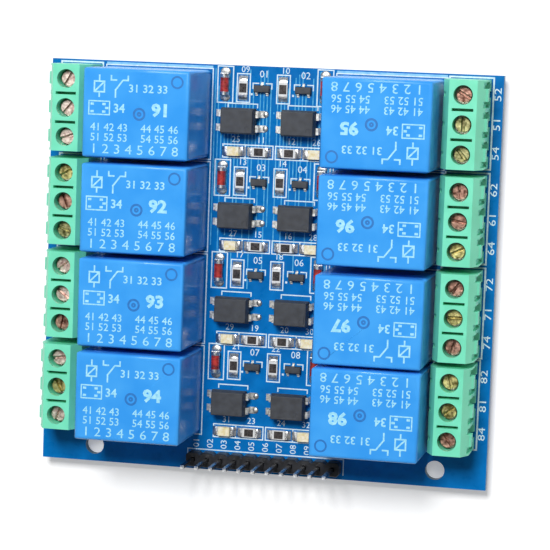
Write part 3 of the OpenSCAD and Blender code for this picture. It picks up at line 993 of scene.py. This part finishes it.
class RELAYBOARD_OT_header(bpy.types.Operator):
    """Finishes the header strip and its pins"""

    bl_idname = "relayboard.header"
    bl_label = "Header"

    def execute(self, context):
        strip = dark_moulding("glass filled polyester", "#232429", "#121317", (0.35, 0.5))
        chamfer = 0.08 * MM
        highlit_length = 0.6 * MM  # length of a pin's sheared end, whose upward faces are painted whiter as a highlight
        upwards = 0.2  # faces that look up by more than this are painted whiter, as a highlight on the sheared end
        recast("header_strip", "header_body", strip, chamfer, 1)
        shaft = sheet_metal("tin plated pins", "#a8a9ab", "#6f7072", (0.14, 0.24))
        # painted highlight: the upward end faces are whiter than the shaft to stand for the light
        # they catch; they are also rougher from the shear
        highlit_ends = sheet_metal("sheared pin ends, painted highlight", "#ffffff", "#e4e4e2", (0.5, 0.62))
        pins = recast("header_pins", "header_pins_plated", shaft)
        pins.data.materials.append(highlit_ends)
        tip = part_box("header_pins")[1].z - highlit_length
        for face in pins.data.polygons:
            if face.center.z > tip and face.normal.z > upwards:
                face.material_index = 1
        return {"FINISHED"}


class RELAYBOARD_OT_channels(bpy.types.Operator):
    """Finishes the optocouplers, transistors, diodes, resistors, lamps and solder"""

    bl_idname = "relayboard.channels"
    bl_label = "Driver channels"

    def execute(self, context):
        epoxy = dark_moulding("moulding epoxy", colours().epoxy, "#34363a", (0.5, 0.65))
        small, fillet = 0.05 * MM, 0.06 * MM  # on the transistors and on the solder
        recast("optocouplers", "opto_bodies", epoxy, sizes().small_round)
        recast("transistors", "transistor_bodies", epoxy, small, 1)
        tin = sheet_metal("tin plated leads", "#f0f0ec", "#b4b4b0", (0.34, 0.5))
        dress("optocoupler_leads", tin)
        dress("transistor_leads", tin)
        recast("diode_glass", "diode_bodies", red_glass())
        ceramic = finish("fired ceramic", "#e9e9e6", "#d6d7d6", 0.8, (0.4, 0.55))
        dress("resistors", ceramic)
        self.glaze()
        dress("lamps", lamp_resin())
        solder = sheet_metal("reflowed solder", "#f4f4f2", "#b2b2b2", (0.3, 0.46), 0.5)
        recast("chip_ends", "soldered_ends", solder, fillet, 1)
        recast("solder_joints", "solder_cones", solder)
        self.solder_beads(tin)
        return {"FINISHED"}

    def glaze(self):
        """The dark glaze over the middle of each chip resistor, short of the body's edges"""
        at_ends, at_sides = 0.34, 0.14  # millimetres of bare ceramic
        bm = bmesh.new()
        for low, high in islands("resistors"):
            upright = high.y - low.y > high.x - low.x
            margin = (at_sides, at_ends, 0) if upright else (at_ends, at_sides, 0)
            size = high - low - 2 * Vector(margin) * MM
            place = Vector((*middle((low, high)).xy, high.z + INK / 2))
            shape = Matrix.Translation(place) @ Matrix.Diagonal((size.x, size.y, INK, 1.0))
            bmesh.ops.create_cube(bm, size=1.0, matrix=shape)
        bmesh.ops.bevel(
            bm,
            geom=bm.edges,
            offset=INK / 3,
            offset_type="OFFSET",
            affect="EDGES",
            segments=1,
            profile=0.5,
            material=-1,
        )
        coat = finish("overglazed ceramic", "#4a4442", "#2c2a2b", 0.7, (0.22, 0.36))
        piece("resistor_glaze", bm, coat)

    def solder_beads(self, tin):
        """Flat beads of solder at the diodes and the left optocouplers' right-hand feet"""
        beyond_glass, beyond_foot = 1.0 * MM, 0.15 * MM
        at_glass, at_foot = (0.95, 0.8, 0.3), (0.55, 0.62, 0.34)  # half sizes in millimetres
        # the feet wanted stand left of the board's middle and right of this
        inner = middle(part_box("optocouplers")).x - 3.0 * MM
        bm = bmesh.new()
        for low, high in islands("diode_glass"):
            for y in (low.y - beyond_glass, high.y + beyond_glass):
                self.bead(bm, middle((low, high)).x, y, at_glass)
        for low, high in islands("optocoupler_leads"):
            if low.x <= 0 and middle((low, high)).x >= inner:
                self.bead(bm, high.x + beyond_foot, middle((low, high)).y, at_foot)
        smooth(piece("solder_beads", bm, tin), 60)

    def bead(self, bm, x, y, half_sizes):
        """A flattened ball of solder, half sunk in the board"""
        shape = Matrix.Translation((x, y, TOP)) @ Matrix.Diagonal((*half_sizes, 1.0))
        bmesh.ops.create_uvsphere(bm, u_segments=20, v_segments=12, radius=MM, matrix=shape)


class RELAYBOARD_PT_panel(bpy.types.Panel):
    """Lists the groups of pieces in the order in which they are built"""

    bl_idname = "RELAYBOARD_PT_panel"
    bl_label = "Relay Board"
    bl_space_type = "VIEW_3D"
    bl_region_type = "UI"
    bl_category = "Relay Board"

    def draw(self, context):
        for made in OPERATORS:
            self.layout.operator(made.bl_idname)
        scene = context.scene
        for group in (scene.relay_board_sizes, scene.relay_board_colours, scene.relay_board_stage):
            box = self.layout.box()
            for name in group.bl_rna.properties.keys():
                if name not in ("rna_type", "name"):
                    box.prop(group, name)


OPERATORS = (
    RELAYBOARD_OT_stage,
    RELAYBOARD_OT_board,
    RELAYBOARD_OT_print,
    RELAYBOARD_OT_relays,
    RELAYBOARD_OT_terminals,
    RELAYBOARD_OT_header,
    RELAYBOARD_OT_channels,
)
GROUPS = (
    ("relay_board_sizes", BoardSizes),
    ("relay_board_colours", BoardColours),
    ("relay_board_stage", BoardStage),
)


def register():
    """Adds the settings, the operators and the panel"""
    for name, group in GROUPS:
        bpy.utils.register_class(group)
        setattr(bpy.types.Scene, name, PointerProperty(type=group))
    for made in (*OPERATORS, RELAYBOARD_PT_panel):
        bpy.utils.register_class(made)


def unregister():
    """Takes them away again, last first"""
    for made in reversed((*OPERATORS, RELAYBOARD_PT_panel)):
        bpy.utils.unregister_class(made)
    for name, group in reversed(GROUPS):
        delattr(bpy.types.Scene, name)
        bpy.utils.unregister_class(group)


def main():
    """Builds everything in order"""
    register()
    for made in OPERATORS:
        family, _, action = made.bl_idname.partition(".")
        getattr(getattr(bpy.ops, family), action)()


if __name__ == "__main__":
    main()
